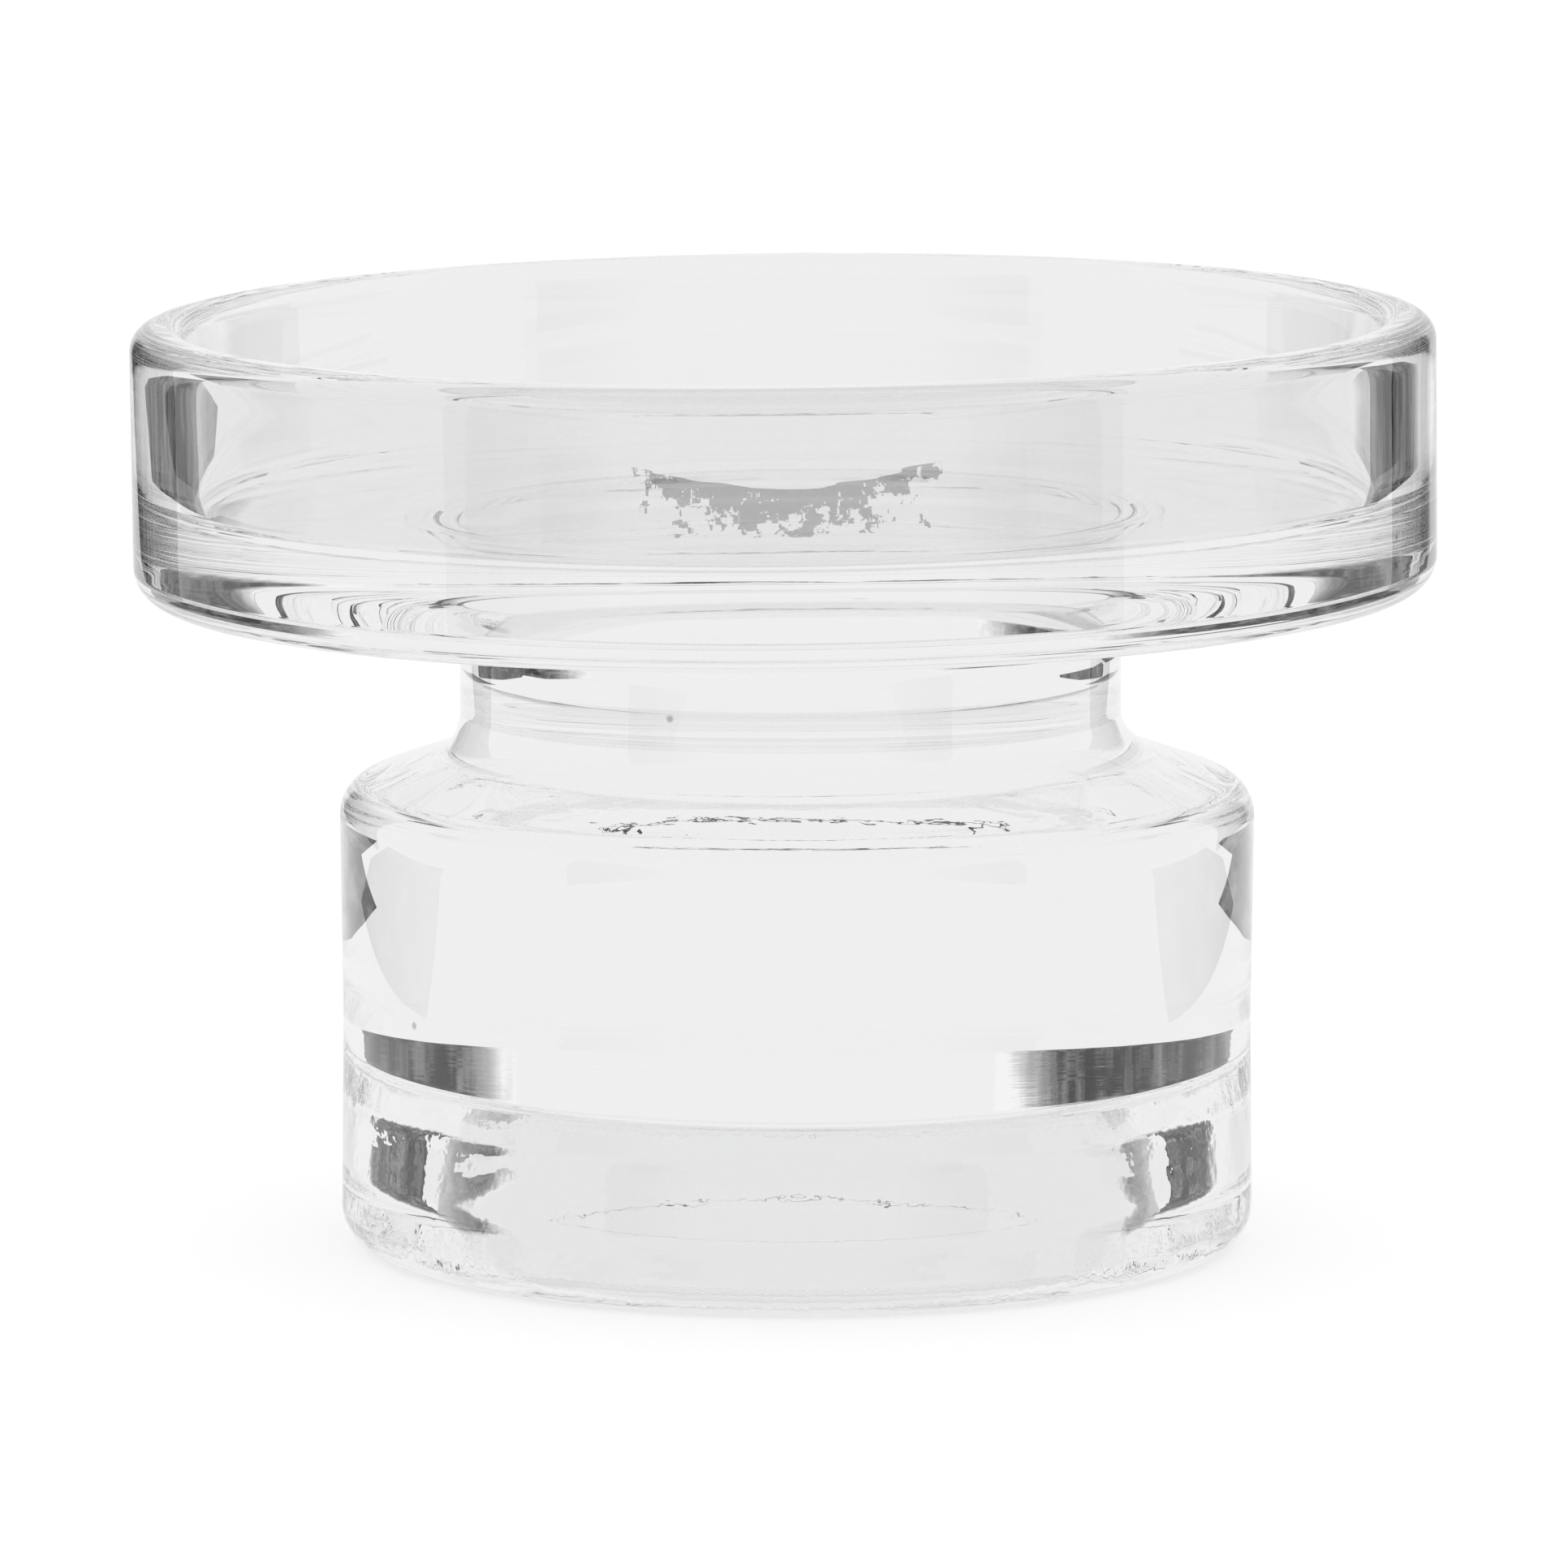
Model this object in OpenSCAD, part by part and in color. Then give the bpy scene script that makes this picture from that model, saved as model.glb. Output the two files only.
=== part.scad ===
// Clear glass pillar candle holder: a wide pressed dish joined hot, at the waist, to a thick pressed base.
// The origin is on the table, under the middle of the dish, with +Z up and the front at -Y.

/* [Dish] */
// Outside diameter of the dish
dish_d = 100; // [84:1:120]
// Height of the dish from its underside to its rim
dish_h = 21; // [18:0.5:28]
// Thickness of the dish wall at the rim
dish_wall = 4.4; // [3.8:0.2:6]
// Thickness of the dish floor that the candle stands on
dish_floor = 7; // [5:0.5:9]
// Lean of the inner wall, so that the plunger could leave the dish
dish_draft = 0.5; // [0:0.5:6]
// Radius along the outer edge of the rim
rim_round = 1.9; // [0.5:0.1:2.2]
// Radius along the inner edge of the rim
lip_round = 1.6; // [0.5:0.1:1.8]
// Radius along the lower edge of the dish
heel_round = 2.6; // [1:0.2:4]
// Radius in the corner between the dish floor and its wall
dish_corner = 1.6; // [0.5:0.1:3]

/* [Waist] */
// Diameter of the waist, where the two pieces of glass meet
waist_d = 50.8; // [44:0.4:56]
// Radius of the cove between the waist and the dish
dish_cove = 4; // [2:0.5:4.5]
// Radius of the cove between the waist and the shoulder
base_cove = 5.6; // [3:0.2:7]
// Height of the stretch of the waist that leans over to the dish
lean_h = 3.2; // [2:0.2:6]
// Height of the dish's stub, from the joint to the underside of the dish
stub_h = 4.6; // [4.6:0.2:8]
// How far the dish was set to the left of the base when it was joined
dish_shift = 1; // [0:0.1:2]
// How far the dish leans to the left, in degrees
dish_lean = 0.6; // [0:0.1:1.2]

/* [Base] */
// Outside diameter of the base
base_d = 70.4; // [64:0.4:80]
// Height of the base to the corner where its side meets the shoulder
drum_h = 35.4; // [24:0.2:60]
// Slope of the shoulder, in degrees from level
shoulder_slope = 19; // [12:1:22]
// Radius along the edge of the shoulder
shoulder_round = 3; // [1:0.2:5]
// Radius along the lower edge of the base
foot_round = 3; // [1:0.2:3.4]

/* [Recess] */
// Thickness of the base's wall at the table, were the recess not flared there
foot_wall = 7.2; // [7:0.2:14]
// Height of the recess under the base
recess_h = 13.9; // [12:0.1:18]
// Lean of the recess wall, so that the plunger could leave the base
recess_draft = 6; // [2:0.5:8]
// Height of the crown, where the wall closes in under the roof
crown_h = 3.4; // [2:0.1:5]
// Lean of the crown
crown_slope = 20; // [10:1:30]
// Radius between the crown and the roof
crown_round = 1.2; // [0.4:0.1:3]
// Height of the flared mouth
mouth_h = 4.6; // [3:0.1:5]
// Lean of the flared mouth
mouth_slope = 30; // [16:1:32]
// Radius between the flared mouth and the foot
mouth_round = 1.8; // [0.4:0.1:2.4]

/* [Hidden] */
glass_tint = [0.93, 0.95, 0.95, 0.45];
// Overrun of every cutting shape past the face that it cuts
over = 1;
// Thickness of the two discs of glass that the leaning stretch of the waist is drawn between
lean_disc_h = 0.5;
// How much the soft glass drew in where it leans
lean_inset = 0.05;
$fn = 96;

dish_r = dish_d / 2;
dish_hollow_r = dish_r - dish_wall;
waist_r = waist_d / 2;
base_r = base_d / 2;
// Radii of the recess at the table were it not flared, at the top of the flare, at the crown, at the roof and
// at the table
recess_r = base_r - foot_wall;
flare_r = recess_r - mouth_h * tan(recess_draft);
crown_z = recess_h - crown_h;
crown_r = recess_r - crown_z * tan(recess_draft);
roof_r = crown_r - crown_h * tan(crown_slope);
mouth_r = flare_r + mouth_h * tan(mouth_slope);

// Distance from a corner to where a round touches its sides, one side upright and one sloping by slope
function touch(round, slope) = round * tan((90 - slope) / 2);

shoulder_touch = touch(shoulder_round, shoulder_slope);
cove_touch = touch(base_cove, shoulder_slope);
// Height at which the shoulder's slope would reach the waist
cove_z = drum_h + (base_r - waist_r) * tan(shoulder_slope);
// Height at which the waist starts to lean over to the dish
neck_z = cove_z + cove_touch;
joint_z = neck_z + lean_h;
dish_z = joint_z + stub_h;
middle_z = dish_z + dish_h / 2;
// The dish leans about its middle, which carries the end of its stub back to the right
stub_x = (middle_z - joint_z) * tan(dish_lean);

// Waste outside a round of the given radius, in the corner whose point is at the origin and lies at +X, +Y
module corner_waste(round) {
    translate([-round, -round])
        difference() {
            square(round + over);
            circle(round);
        }
}

// Glass left in an inner corner by a round of the given radius, the corner's point at the origin
module corner_fill(round) {
    difference() {
        square(round);
        translate([round, round]) circle(round);
    }
}

// Glass left in the end corner of a hollow by a round, the corner at end_r and depth, its wall leaning by slope
module end_fill(end_r, depth, slope, round) {
    // The round touches the end and the wall at this distance from the corner
    in = touch(round, slope);
    difference() {
        polygon([
            [end_r - in, depth],
            [end_r + in * sin(slope), depth - in * cos(slope)],
            [end_r, depth + over],
            [end_r - in, depth + over]
        ]);
        translate([end_r - in, depth - round]) circle(round);
    }
}

// Space over the rounded mouth of a hollow, the mouth at rim_r on the X axis and its wall leaning by slope
module mouth_space(rim_r, slope, round) {
    out = touch(round, slope);
    difference() {
        polygon([
            [0, -over],
            [rim_r + out, -over],
            [rim_r + out, 0],
            [rim_r - out * sin(slope), out * cos(slope)],
            [0, out * cos(slope)]
        ]);
        translate([rim_r + out, round]) circle(round);
    }
}

// Half section of the hollow in the dish, its mouth on the X axis and its end up the Y axis
module dish_hollow() {
    depth = dish_h - dish_floor;
    end_r = dish_hollow_r - depth * tan(dish_draft);
    difference() {
        polygon([
            [0, -over],
            [dish_hollow_r + over * tan(dish_draft), -over],
            [end_r, depth],
            [0, depth]
        ]);
        end_fill(end_r, depth, dish_draft, dish_corner);
    }
    mouth_space(dish_hollow_r, dish_draft, lip_round);
}

// Half section of the recess: a flared mouth, a leaning wall, and a crown that closes in under the flat roof
module recess() {
    difference() {
        polygon([
            [0, -over],
            [mouth_r + over * tan(mouth_slope), -over],
            [flare_r, mouth_h],
            [crown_r, crown_z],
            [roof_r, recess_h],
            [0, recess_h]
        ]);
        end_fill(roof_r, recess_h, crown_slope, crown_round);
    }
    mouth_space(mouth_r, mouth_slope, mouth_round);
}

// Half section of the dish, its axis on the Y axis and its underside on the X axis
module dish_section() {
    difference() {
        union() {
            square([dish_r, dish_h]);
            // Stub that was joined to the base, longer than it ends up
            translate([0, -stub_h - over]) square([waist_r, stub_h + over]);
            translate([waist_r, 0]) mirror([0, 1]) corner_fill(dish_cove);
        }
        translate([dish_r, dish_h]) corner_waste(rim_round);
        translate([dish_r, 0]) mirror([0, 1]) corner_waste(heel_round);
        translate([0, dish_h]) mirror([0, 1]) dish_hollow();
    }
}

// Half section of the base without its recess, up to where the waist starts to lean
module base_section() {
    difference() {
        union() {
            polygon([
                [0, 0],
                [base_r, 0],
                [base_r, drum_h - shoulder_touch],
                [base_r - shoulder_touch * cos(shoulder_slope), drum_h + shoulder_touch * sin(shoulder_slope)],
                [waist_r + cove_touch * cos(shoulder_slope), cove_z - cove_touch * sin(shoulder_slope)],
                [waist_r, neck_z],
                [0, neck_z]
            ]);
            translate([base_r - shoulder_round, drum_h - shoulder_touch]) circle(shoulder_round);
        }
        translate([waist_r + base_cove, neck_z]) circle(base_cove);
        translate([base_r, 0]) mirror([0, 1]) corner_waste(foot_round);
    }
}

// Puts the dish's own frame, whose origin is the middle of the underside, where the dish leans on the base
module on_lean() {
    translate([0, 0, middle_z])
        rotate([0, -dish_lean, 0])
            translate([0, 0, -dish_h / 2])
                children();
}

module dish() {
    color(glass_tint)
        difference() {
            on_lean() rotate_extrude() dish_section();
            translate([0, 0, joint_z - dish_h]) cylinder(r = dish_r, h = dish_h);
        }
}

module base() {
    color(glass_tint) {
        translate([dish_shift, 0, 0])
            difference() {
                rotate_extrude() base_section();
                rotate_extrude() recess();
            }
        // The waist was still soft when the dish was set down on it, so it leans over to the dish
        hull() {
            translate([dish_shift, 0, neck_z])
                cylinder(r = waist_r - lean_inset, h = lean_disc_h);
            translate([stub_x, 0, joint_z - lean_disc_h])
                cylinder(r = waist_r - lean_inset, h = lean_disc_h);
        }
    }
}

dish();
base();
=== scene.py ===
import math

import bpy
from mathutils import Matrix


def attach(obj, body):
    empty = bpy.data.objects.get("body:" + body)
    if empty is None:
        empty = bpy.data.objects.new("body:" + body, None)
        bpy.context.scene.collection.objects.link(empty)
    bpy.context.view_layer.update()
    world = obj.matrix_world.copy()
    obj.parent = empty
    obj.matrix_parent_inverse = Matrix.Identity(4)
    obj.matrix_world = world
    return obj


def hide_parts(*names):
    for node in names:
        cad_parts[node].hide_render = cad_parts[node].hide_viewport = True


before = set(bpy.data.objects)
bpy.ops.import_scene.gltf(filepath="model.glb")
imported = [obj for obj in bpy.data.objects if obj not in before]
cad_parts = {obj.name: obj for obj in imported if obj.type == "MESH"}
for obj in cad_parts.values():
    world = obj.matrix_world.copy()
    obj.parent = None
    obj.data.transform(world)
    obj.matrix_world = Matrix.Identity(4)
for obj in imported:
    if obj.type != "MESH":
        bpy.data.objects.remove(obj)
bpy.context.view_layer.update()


# The viewpoint of the photograph: a long lens about 0.93 m away, looking 8.3 degrees down on the
# holder. Lengths are written in millimetres, and MM turns them into Blender's metres.
MM = 0.001
CAMERA_BACK, CAMERA_UP, LOOK_DOWN = 914.1, 169.35, 8.336
bpy.ops.object.select_all(action="DESELECT")
bpy.ops.object.camera_add(
    location=(0.0, -CAMERA_BACK * MM, CAMERA_UP * MM),
    rotation=(math.radians(90 - LOOK_DOWN), 0, 0),
)
camera = bpy.context.object
camera.name = "photo_camera"
camera.data.sensor_width = 36
camera.data.lens = 275.5
camera.data.clip_start = 0.02
camera.data.clip_end = 50
bpy.context.scene.camera = camera
bpy.context.scene.view_settings.view_transform = "Standard"

# Light is turned round many times inside thick glass before it comes out
BOUNCES = 24
light = bpy.context.scene.cycles
light.max_bounces = BOUNCES
light.glossy_bounces = BOUNCES
light.transmission_bounces = BOUNCES
light.transparent_max_bounces = BOUNCES


# The dish: wide and shallow, of clear glass pressed thick in a mould, its rim and edges softened
# in the fire. A short stub under it was set down hot on the base, a little to the left and leaning
# by 0.6 degrees, and the ends were melted together. The outline is drawn once and spun round.
DISH_R, DISH_H, WALL, FLOOR_H = 50.0, 21.0, 4.4, 7.0
RIM_ROUND, LIP_ROUND, CORNER_ROUND, HEEL_ROUND, STUB_COVE = 1.9, 1.6, 1.6, 2.6, 4.0
STUB_R, JOINT_Z, DISH_Z = 25.4, 45.969, 50.569
DISH_DRAFT, LEAN = math.radians(0.5), math.radians(0.6)
TURNS = 256
WELD = 0.002


def start_outline(x, z):
    """A new mesh in edit mode that holds one point of the outline."""
    bpy.ops.object.select_all(action="DESELECT")
    bpy.ops.mesh.primitive_plane_add(size=1)
    bpy.ops.object.mode_set(mode="EDIT")
    bpy.ops.mesh.select_mode(type="VERT")
    bpy.ops.mesh.merge(type="CENTER")
    bpy.ops.transform.translate(value=(x * MM, 0, z * MM))
    return [x, z]


def run(pen, x, z, step=1.5):
    """The outline goes straight to x, z, in pieces of about step."""
    length = math.hypot(x - pen[0], z - pen[1])
    count = max(1, round(length / step))
    move = ((x - pen[0]) / count * MM, 0, (z - pen[1]) / count * MM)
    for _ in range(count):
        bpy.ops.mesh.extrude_region_move(TRANSFORM_OT_translate={"value": move})
    pen[:] = [x, z]


def bend(pen, x, z, angle, steps):
    """The outline turns by angle degrees round x, z, anticlockwise seen from the front."""
    a = math.radians(angle)
    bpy.ops.mesh.spin(
        steps=steps, angle=a, center=(x * MM, 0, z * MM), axis=(0, 1, 0), dupli=False
    )
    dx, dz = pen[0] - x, pen[1] - z
    pen[:] = [
        x + dx * math.cos(a) - dz * math.sin(a),
        z + dx * math.sin(a) + dz * math.cos(a),
    ]


def turn_outline(name):
    """The outline is spun round the upright axis, and its poles and seam are closed."""
    bpy.ops.mesh.select_all(action="SELECT")
    bpy.ops.mesh.spin(
        steps=TURNS, angle=math.tau, center=(0, 0, 0), axis=(0, 0, 1), dupli=False
    )
    bpy.ops.mesh.select_all(action="SELECT")
    bpy.ops.mesh.remove_doubles(threshold=WELD * MM)
    piece = bpy.context.object
    piece.name = name
    return piece


def touch(radius, angle):
    """How far from a corner a round touches its sides, one upright and one sloping by angle."""
    return radius * math.tan((math.pi / 2 - angle) / 2)


# From the middle of its floor, up the wall, over the rim, down the side and in to the stub
rim_z = DISH_Z + DISH_H
floor_z = DISH_Z + FLOOR_H
hollow_r = DISH_R - WALL
end_r = hollow_r - (DISH_H - FLOOR_H) * math.tan(DISH_DRAFT)
corner = touch(CORNER_ROUND, DISH_DRAFT)
lip = touch(LIP_ROUND, DISH_DRAFT)
pen = start_outline(0, floor_z)
run(pen, end_r - corner, floor_z)
bend(pen, end_r - corner, floor_z + CORNER_ROUND, 90 - math.degrees(DISH_DRAFT), 8)
run(pen, hollow_r - lip * math.sin(DISH_DRAFT), rim_z - lip * math.cos(DISH_DRAFT))
bend(pen, hollow_r + lip, rim_z - LIP_ROUND, math.degrees(DISH_DRAFT) - 90, 8)
run(pen, DISH_R - RIM_ROUND, rim_z)
bend(pen, DISH_R - RIM_ROUND, rim_z - RIM_ROUND, -90, 9)
run(pen, DISH_R, DISH_Z + HEEL_ROUND)
bend(pen, DISH_R - HEEL_ROUND, DISH_Z + HEEL_ROUND, -90, 10)
run(pen, STUB_R + STUB_COVE, DISH_Z)
bend(pen, STUB_R + STUB_COVE, DISH_Z - STUB_COVE, 90, 12)
run(pen, STUB_R, JOINT_Z - 0.8, 0.5)
dish = turn_outline("dish_glass")

# It leans about its middle, and its stub is cut level where it meets the base
middle_z = DISH_Z + DISH_H / 2
bpy.ops.transform.rotate(
    value=LEAN, orient_axis="Y", center_override=(0, 0, middle_z * MM)
)
bpy.ops.mesh.select_all(action="SELECT")
bpy.ops.mesh.bisect(
    plane_co=(0, 0, JOINT_Z * MM),
    plane_no=(0, 0, 1),
    use_fill=True,
    clear_inner=True,
    threshold=0.001 * MM,
)


def draw_over(piece, low, high, move, reach):
    """Soft glass between the heights low and high moves along X, and the glass near it follows."""
    bpy.ops.mesh.select_mode(type="VERT")
    bpy.ops.mesh.select_all(action="DESELECT")
    bpy.ops.object.mode_set(mode="OBJECT")
    for point in piece.data.vertices:
        point.select = low * MM < point.co.z < high * MM
    bpy.ops.object.mode_set(mode="EDIT")
    bpy.ops.transform.translate(
        value=(move * MM, 0, 0),
        use_proportional_edit=True,
        proportional_edit_falloff="SMOOTH",
        proportional_size=reach * MM,
    )


# The lean carried the end of the stub to the right, and the base drew it a little further
JOINT_X = 0.5
stub_x = (middle_z - JOINT_Z) * math.tan(LEAN)
draw_over(dish, JOINT_Z - 0.1, JOINT_Z + 0.01, JOINT_X - stub_x, 4.0)

# Clear glass with the faint waves that the mould left in its skin
glass = bpy.data.materials.new("clear_pressed_glass")
glass.use_nodes = True
tree = glass.node_tree
shader = tree.nodes["Principled BSDF"]
shader.inputs["Roughness"].default_value = 0.0
shader.inputs["IOR"].default_value = 1.5
shader.inputs["Transmission Weight"].default_value = 1.0
place = tree.nodes.new("ShaderNodeTexCoord")
waves = tree.nodes.new("ShaderNodeTexNoise")
waves.inputs["Scale"].default_value = 70
waves.inputs["Detail"].default_value = 2
tree.links.new(place.outputs["Object"], waves.inputs["Vector"])
wave_bump = tree.nodes.new("ShaderNodeBump")
wave_bump.inputs["Distance"].default_value = 0.020 * MM
tree.links.new(waves.outputs["Fac"], wave_bump.inputs["Height"])

# It has a trace of grey, and a few seeds: tiny bubbles in the skin, each seen as a dark speck
bubbles = tree.nodes.new("ShaderNodeTexVoronoi")
bubbles.inputs["Scale"].default_value = 90
tree.links.new(place.outputs["Object"], bubbles.inputs["Vector"])
clear = tree.nodes.new("ShaderNodeMapRange")
clear.inputs["From Min"].default_value = 0.018
clear.inputs["From Max"].default_value = 0.034
tree.links.new(bubbles.outputs["Distance"], clear.inputs["Value"])
tint = tree.nodes.new("ShaderNodeMix")
tint.data_type = "RGBA"
tint.inputs["A"].default_value = (0.30, 0.30, 0.30, 1)
tint.inputs["B"].default_value = (0.905, 0.907, 0.907, 1)
tree.links.new(clear.outputs["Result"], tint.inputs["Factor"])
tree.links.new(tint.outputs["Result"], shader.inputs["Base Color"])

# The plunger chilled the glass in the recess of the base, so the skin is finely rippled there,
# within 30.6 mm of the middle of the foot
ripple = tree.nodes.new("ShaderNodeTexNoise")
ripple.inputs["Scale"].default_value = 330
ripple.inputs["Detail"].default_value = 3
tree.links.new(place.outputs["Object"], ripple.inputs["Vector"])
centre = tree.nodes.new("ShaderNodeMapping")
centre.inputs["Location"].default_value = (-1 * MM, 0, 0)
tree.links.new(place.outputs["Object"], centre.inputs["Vector"])
from_foot = tree.nodes.new("ShaderNodeVectorMath")
from_foot.operation = "LENGTH"
tree.links.new(centre.outputs["Vector"], from_foot.inputs[0])
in_recess = tree.nodes.new("ShaderNodeMath")
in_recess.operation = "LESS_THAN"
in_recess.inputs[1].default_value = 30.6 * MM
tree.links.new(from_foot.outputs["Value"], in_recess.inputs[0])
chill = tree.nodes.new("ShaderNodeMath")
chill.operation = "MULTIPLY"
tree.links.new(ripple.outputs["Fac"], chill.inputs[0])
tree.links.new(in_recess.outputs["Value"], chill.inputs[1])

# The ripple is three times as high on the crown under the roof, where the plunger touched first
crown_skin = tree.nodes.new("ShaderNodeMapRange")
crown_skin.inputs["From Min"].default_value = 28.3 * MM
crown_skin.inputs["From Max"].default_value = 29.0 * MM
crown_skin.inputs["To Min"].default_value = 1.0
crown_skin.inputs["To Max"].default_value = 3.0
tree.links.new(from_foot.outputs["Value"], crown_skin.inputs["Value"])
rougher = tree.nodes.new("ShaderNodeMath")
rougher.operation = "MULTIPLY"
tree.links.new(chill.outputs["Value"], rougher.inputs[0])
tree.links.new(crown_skin.outputs["Result"], rougher.inputs[1])
ripple_bump = tree.nodes.new("ShaderNodeBump")
ripple_bump.inputs["Distance"].default_value = 0.030 * MM
tree.links.new(rougher.outputs["Value"], ripple_bump.inputs["Height"])
tree.links.new(wave_bump.outputs["Normal"], ripple_bump.inputs["Normal"])
tree.links.new(ripple_bump.outputs["Normal"], shader.inputs["Normal"])

# The melted joint has no skin, so the two faces that touch there let the view through
joint = bpy.data.materials.new("melted_joint")
joint.use_nodes = True
tree = joint.node_tree
tree.nodes.clear()
open_face = tree.nodes.new("ShaderNodeBsdfTransparent")
surface = tree.nodes.new("ShaderNodeOutputMaterial")
tree.links.new(open_face.outputs[0], surface.inputs["Surface"])


def finish_glass(piece, node):
    """Outward normals, a smooth skin, clear glass all over and the open face at the joint."""
    bpy.ops.mesh.select_all(action="SELECT")
    bpy.ops.mesh.remove_doubles(threshold=WELD * MM)
    bpy.ops.mesh.normals_make_consistent(inside=False)
    bpy.ops.mesh.select_mode(type="FACE")
    bpy.ops.mesh.select_all(action="DESELECT")
    bpy.ops.object.mode_set(mode="OBJECT")
    bpy.ops.object.transform_apply(location=True, rotation=True, scale=True)
    bpy.ops.object.shade_smooth_by_angle(angle=math.radians(50))
    piece.data.materials.append(glass)
    piece.data.materials.append(joint)
    for face in piece.data.polygons:
        at_joint = abs(face.center.z - JOINT_Z * MM) < 0.01 * MM
        face.select = at_joint and abs(face.normal.z) > 0.99
    bpy.ops.object.mode_set(mode="EDIT")
    piece.active_material_index = 1
    bpy.ops.object.material_slot_assign()
    bpy.ops.object.mode_set(mode="OBJECT")
    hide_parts(node)
    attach(piece, "root")


finish_glass(dish, "dish")


# The base: a thick drum of the same glass, pressed upside down by a plunger that left the round
# recess. Its waist was still soft when the dish was set down on it, so it leans over to the dish
# above the shoulder.
BASE_R, DRUM_H, SLOPE = 35.2, 35.4, math.radians(19)
SHOULDER_ROUND, WAIST_COVE, FOOT_ROUND = 3.0, 3.8, 3.0
RECESS_R, RECESS_H, RECESS_DRAFT = 28.0, 13.9, math.radians(6)
CROWN_H, CROWN_SLOPE, CROWN_ROUND = 3.4, math.radians(20), 1.2
MOUTH_H, MOUTH_SLOPE, MOUTH_ROUND, FLARE_ROUND = 4.6, math.radians(30), 1.8, 5.0
SHIFT = 1.0
# The side draws in a little at half its height, and less just above the foot
DRAWN_IN, DRAWN_Z, FOOT_DRAWN_IN = 0.2, 18, 0.03

shoulder = touch(SHOULDER_ROUND, SLOPE)
cove = touch(WAIST_COVE, SLOPE)
neck_z = DRUM_H + (BASE_R - STUB_R) * math.tan(SLOPE) + cove
flare_r = RECESS_R - MOUTH_H * math.tan(RECESS_DRAFT)
crown_z = RECESS_H - CROWN_H
crown_r = RECESS_R - crown_z * math.tan(RECESS_DRAFT)
roof_r = crown_r - CROWN_H * math.tan(CROWN_SLOPE)
mouth_r = flare_r + MOUTH_H * math.tan(MOUTH_SLOPE)
mouth = touch(MOUTH_ROUND, MOUTH_SLOPE)
crown = touch(CROWN_ROUND, CROWN_SLOPE)
flare = FLARE_ROUND * math.tan((MOUTH_SLOPE - RECESS_DRAFT) / 2)

# From the middle of the joint, down the waist, over the shoulder, down the side, round the foot
pen = start_outline(0, JOINT_Z)
run(pen, STUB_R, JOINT_Z, STUB_R)
run(pen, STUB_R, neck_z, 0.4)
bend(pen, STUB_R + WAIST_COVE, neck_z, 90 - math.degrees(SLOPE), 14)
run(
    pen,
    BASE_R - shoulder * math.cos(SLOPE),
    DRUM_H + shoulder * math.sin(SLOPE),
)
bend(pen, BASE_R - SHOULDER_ROUND, DRUM_H - shoulder, math.degrees(SLOPE) - 90, 9)
run(pen, BASE_R - DRAWN_IN, DRAWN_Z)
run(pen, BASE_R - FOOT_DRAWN_IN, FOOT_ROUND)
bend(pen, BASE_R - FOOT_ROUND, FOOT_ROUND, -90, 10)

# Then over the rounded mouth of the recess, up its flare, wall and crown, and in under the roof
run(pen, mouth_r + mouth, 0, 0.5)
bend(pen, mouth_r + mouth, MOUTH_ROUND, math.degrees(MOUTH_SLOPE) - 90, 8)
flare_x = flare_r + flare * math.sin(MOUTH_SLOPE)
flare_z = MOUTH_H - flare * math.cos(MOUTH_SLOPE)
run(pen, flare_x, flare_z, 0.5)
bend(
    pen,
    flare_x + FLARE_ROUND * math.cos(MOUTH_SLOPE),
    flare_z + FLARE_ROUND * math.sin(MOUTH_SLOPE),
    math.degrees(RECESS_DRAFT - MOUTH_SLOPE),
    8,
)
run(pen, crown_r, crown_z, 0.8)
run(
    pen,
    roof_r + crown * math.sin(CROWN_SLOPE),
    RECESS_H - crown * math.cos(CROWN_SLOPE),
    0.6,
)
bend(pen, roof_r - crown, RECESS_H - CROWN_ROUND, 90 - math.degrees(CROWN_SLOPE), 8)
run(pen, 0, RECESS_H)
base = turn_outline("base_glass")
bpy.ops.transform.translate(value=(SHIFT * MM, 0, 0))

# The soft waist, from 41 mm up, was drawn over to the stub
draw_over(base, 41.0, JOINT_Z + 0.1, JOINT_X - SHIFT, 4.5)
finish_glass(base, "base")


# The table: a wide sheet of matt white paper that takes the holder's soft shadow. Seen in or
# through the glass it is plain and bright, and close round the base it is painted a little
# greyer: a painted shade for the shadow of the base.
bpy.ops.object.select_all(action="DESELECT")
bpy.ops.mesh.primitive_plane_add(size=12, location=(0, 0, -0.02 * MM))
floor = bpy.context.object
floor.name = "floor"
paper = bpy.data.materials.new("white_paper")
paper.use_nodes = True
tree = paper.node_tree
tree.nodes.clear()
matt = tree.nodes.new("ShaderNodeBsdfDiffuse")
matt.inputs["Color"].default_value = (0.5, 0.5, 0.5, 1)
white = tree.nodes.new("ShaderNodeEmission")
white.inputs["Strength"].default_value = 0.62
shaded = tree.nodes.new("ShaderNodeAddShader")
tree.links.new(matt.outputs[0], shaded.inputs[0])
tree.links.new(white.outputs[0], shaded.inputs[1])
light_path = tree.nodes.new("ShaderNodeLightPath")
by_glass = tree.nodes.new("ShaderNodeMath")
by_glass.operation = "MAXIMUM"
tree.links.new(light_path.outputs["Is Glossy Ray"], by_glass.inputs[0])
tree.links.new(light_path.outputs["Is Transmission Ray"], by_glass.inputs[1])
spot = tree.nodes.new("ShaderNodeNewGeometry")
away = tree.nodes.new("ShaderNodeVectorMath")
away.operation = "LENGTH"
tree.links.new(spot.outputs["Position"], away.inputs[0])
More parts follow.
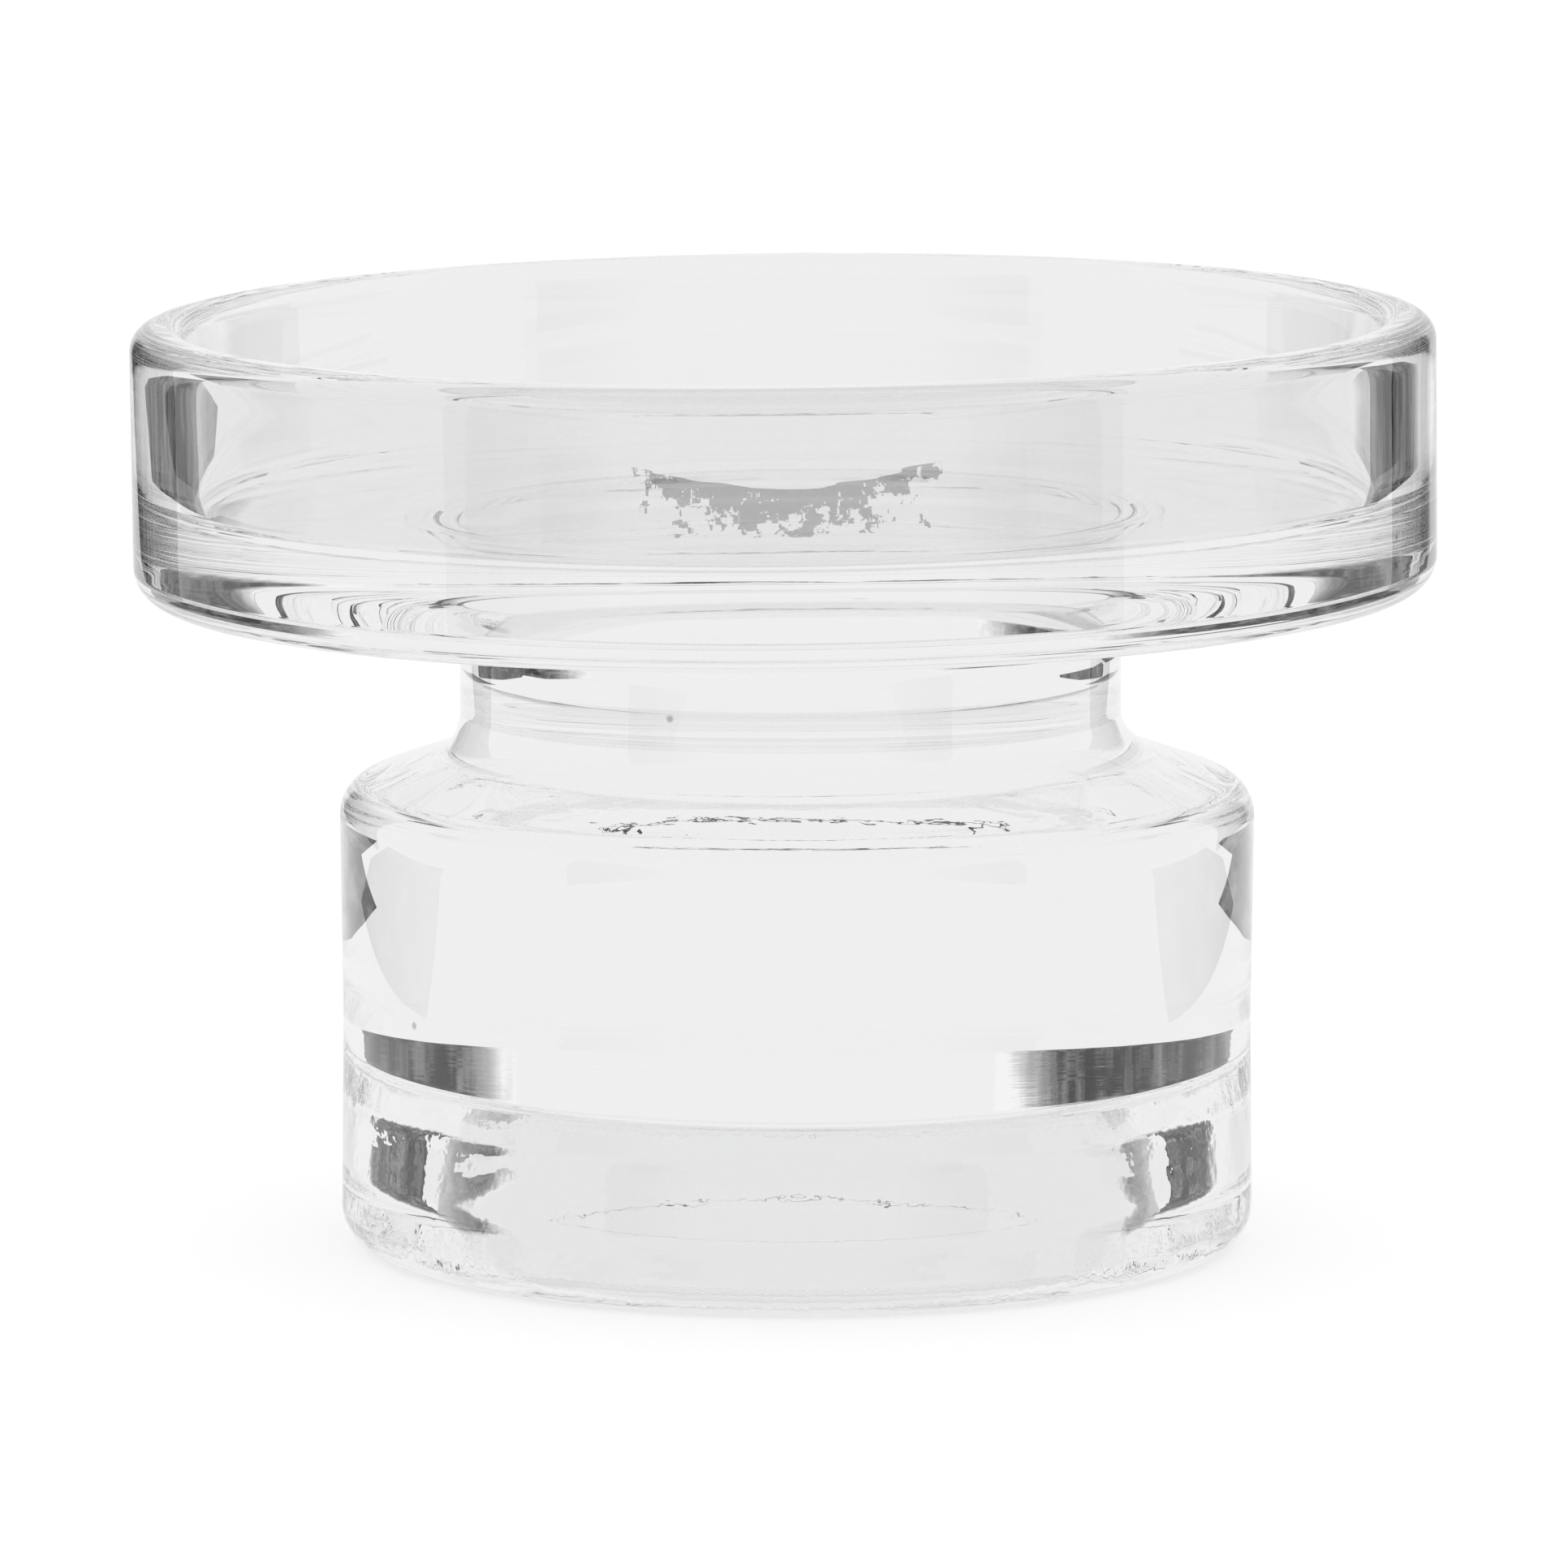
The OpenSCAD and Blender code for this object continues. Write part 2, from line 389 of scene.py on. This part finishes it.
# Painted shade: the floor that the glass sees is greyer within 38 mm of the middle, for the base's
# shadow
painted_shade_under_base = tree.nodes.new("ShaderNodeMapRange")
painted_shade_under_base.interpolation_type = "SMOOTHSTEP"
painted_shade_under_base.inputs["From Min"].default_value = 29 * MM
painted_shade_under_base.inputs["From Max"].default_value = 38 * MM
painted_shade_under_base.inputs["To Min"].default_value = 0.86
painted_shade_under_base.inputs["To Max"].default_value = 0.95
tree.links.new(away.outputs["Value"], painted_shade_under_base.inputs["Value"])
plain = tree.nodes.new("ShaderNodeEmission")
tree.links.new(painted_shade_under_base.outputs["Result"], plain.inputs["Strength"])
pick = tree.nodes.new("ShaderNodeMixShader")
tree.links.new(by_glass.outputs[0], pick.inputs[0])
tree.links.new(shaded.outputs[0], pick.inputs[1])
tree.links.new(plain.outputs[0], pick.inputs[2])
out = tree.nodes.new("ShaderNodeOutputMaterial")
tree.links.new(pick.outputs[0], out.inputs["Surface"])
floor.data.materials.append(paper)


# Dark cards on both sides of the holder: behind it, in front of it and low beside it, all out of
# the picture. They draw the dark patches in the glass. They are blotched and fade to white towards
# their back and front ends and at the top, and the left one reaches further back, with a softer
# end.
BACK_FROM = 130


def hang_card(name, place_mm, turn, size_mm, paint):
    """A card that only the glass sees: the camera doesn't, and it casts no shadow."""
    bpy.ops.object.select_all(action="DESELECT")
    bpy.ops.mesh.primitive_plane_add(
        size=1,
        location=[length * MM for length in place_mm],
        rotation=[math.radians(angle) for angle in turn],
    )
    card = bpy.context.object
    card.name = name
    card.scale = (size_mm[0] * MM, size_mm[1] * MM, 1)
    card.visible_camera = False
    card.visible_diffuse = False
    card.visible_shadow = False
    card.data.materials.append(paint)


for side, name, dark_to, white_from in ((-1, "left", 470, 700), (1, "right", 320, 440)):
    dark = bpy.data.materials.new(f"dark_card_{name}")
    dark.use_nodes = True
    tree = dark.node_tree
    tree.nodes.clear()
    spot = tree.nodes.new("ShaderNodeNewGeometry")
    blotch = tree.nodes.new("ShaderNodeTexNoise")
    blotch.inputs["Scale"].default_value = 30
    blotch.inputs["Detail"].default_value = 5
    blotch.inputs["Roughness"].default_value = 0.7
    tree.links.new(spot.outputs["Position"], blotch.inputs["Vector"])
    tone = tree.nodes.new("ShaderNodeMapRange")
    tone.inputs["From Min"].default_value = 0.45
    tone.inputs["From Max"].default_value = 0.72
    tone.inputs["To Min"].default_value = 0.01
    tone.inputs["To Max"].default_value = 0.34
    tree.links.new(blotch.outputs["Fac"], tone.inputs["Value"])
    position = tree.nodes.new("ShaderNodeSeparateXYZ")
    tree.links.new(spot.outputs["Position"], position.inputs["Vector"])

    # The soft ends: at the back, at the front and at the top
    brightness = tone.outputs["Result"]
    for along, dark_at, white_at in (
        ("Y", dark_to, white_from),
        ("Y", -140, -400),
        ("Z", 110, 170),
    ):
        fade = tree.nodes.new("ShaderNodeMapRange")
        fade.interpolation_type = "SMOOTHSTEP"
        fade.inputs["From Min"].default_value = dark_at * MM
        fade.inputs["From Max"].default_value = white_at * MM
        fade.inputs["To Min"].default_value = 0
        fade.inputs["To Max"].default_value = 0.9
        tree.links.new(position.outputs[along], fade.inputs["Value"])
        brighter = tree.nodes.new("ShaderNodeMath")
        brighter.use_clamp = True
        tree.links.new(brightness, brighter.inputs[0])
        tree.links.new(fade.outputs["Result"], brighter.inputs[1])
        brightness = brighter.outputs["Value"]
    glow = tree.nodes.new("ShaderNodeEmission")
    glow.inputs["Color"].default_value = (1, 1, 1, 1)
    tree.links.new(brightness, glow.inputs["Strength"])
    out = tree.nodes.new("ShaderNodeOutputMaterial")
    tree.links.new(glow.outputs[0], out.inputs["Surface"])

    # The two upright cards stand along Y at the holder's sides, and the low one lies on the table
    back = white_from - BACK_FROM
    for kind, place_mm, tip, size_mm in (
        ("back", (side * 200, BACK_FROM + back / 2, 85), 90, (back, 170)),
        ("front", (side * 200, -270, 85), 90, (260, 170)),
        ("low", (side * 181, 67, 1), 0, (110, 104)),
    ):
        hang_card(f"card_{kind}_{name}", place_mm, (tip, 0, 90), size_mm, dark)


# A small ragged card close behind the holder, at the height of its rim. The floor of the dish
# mirrors it as a dark lens. Its lower edge is bowed, and it breaks up into specks upwards and
# towards its sides.
EDGE_Z, EDGE_BOW, BOW_X = 69.0, 2.1, 14
ragged = bpy.data.materials.new("ragged_card")
ragged.use_nodes = True
tree = ragged.node_tree
tree.nodes.clear()


def reckon(operation, first, second=0.0):
    """A Math node of the ragged card, whose values are numbers or other nodes' outputs."""
    step = tree.nodes.new("ShaderNodeMath")
    step.operation = operation
    for socket, value in zip(step.inputs, (first, second)):
        if isinstance(value, float):
            socket.default_value = value
        else:
            tree.links.new(value, socket)
    return step.outputs[0]


spot = tree.nodes.new("ShaderNodeNewGeometry")
position = tree.nodes.new("ShaderNodeSeparateXYZ")
tree.links.new(spot.outputs["Position"], position.inputs["Vector"])
specks = tree.nodes.new("ShaderNodeTexNoise")
specks.inputs["Scale"].default_value = 420
specks.inputs["Detail"].default_value = 4
specks.inputs["Roughness"].default_value = 0.75
tree.links.new(spot.outputs["Position"], specks.inputs["Vector"])
across = reckon("DIVIDE", reckon("ABSOLUTE", position.outputs["X"]), BOW_X * MM)
aside = reckon("POWER", across, 2.0)
bow = reckon("MULTIPLY", aside, EDGE_BOW * MM)
above = reckon("SUBTRACT", reckon("ADD", position.outputs["Z"], bow), EDGE_Z * MM)
upwards = reckon("MULTIPLY", above, 0.16 / (4.0 * MM))
thinner = reckon("ADD", upwards, reckon("MULTIPLY", aside, 0.12))
solid = reckon("GREATER_THAN", specks.outputs["Fac"], reckon("ADD", thinner, 0.36))
mask = reckon("MULTIPLY", reckon("GREATER_THAN", above, 0.0), solid)
gap = tree.nodes.new("ShaderNodeBsdfTransparent")
shade = tree.nodes.new("ShaderNodeEmission")
shade.inputs["Strength"].default_value = 0.03
torn = tree.nodes.new("ShaderNodeMixShader")
tree.links.new(mask, torn.inputs[0])
tree.links.new(gap.outputs[0], torn.inputs[1])
tree.links.new(shade.outputs[0], torn.inputs[2])
out = tree.nodes.new("ShaderNodeOutputMaterial")
tree.links.new(torn.outputs[0], out.inputs["Surface"])
hang_card("card_lens", (0, 100, 70), (90, 0, 0), (30, 7.4), ragged)


# White all round: the camera sees a plain white backdrop, and the glass sees it a little softer.
# It is also the only light, even from every side.
world = bpy.data.worlds.new("studio")
bpy.context.scene.world = world
world.use_nodes = True
tree = world.node_tree
tree.nodes.clear()
backdrop = tree.nodes.new("ShaderNodeBackground")
backdrop.inputs["Color"].default_value = (1, 1, 1, 1)
backdrop.inputs["Strength"].default_value = 1.0
surround = tree.nodes.new("ShaderNodeBackground")
surround.inputs["Color"].default_value = (1, 1, 1, 1)
surround.inputs["Strength"].default_value = 0.95
light_path = tree.nodes.new("ShaderNodeLightPath")
pick = tree.nodes.new("ShaderNodeMixShader")
tree.links.new(light_path.outputs["Is Camera Ray"], pick.inputs[0])
tree.links.new(surround.outputs[0], pick.inputs[1])
tree.links.new(backdrop.outputs[0], pick.inputs[2])
out = tree.nodes.new("ShaderNodeOutputWorld")
tree.links.new(pick.outputs[0], out.inputs["Surface"])
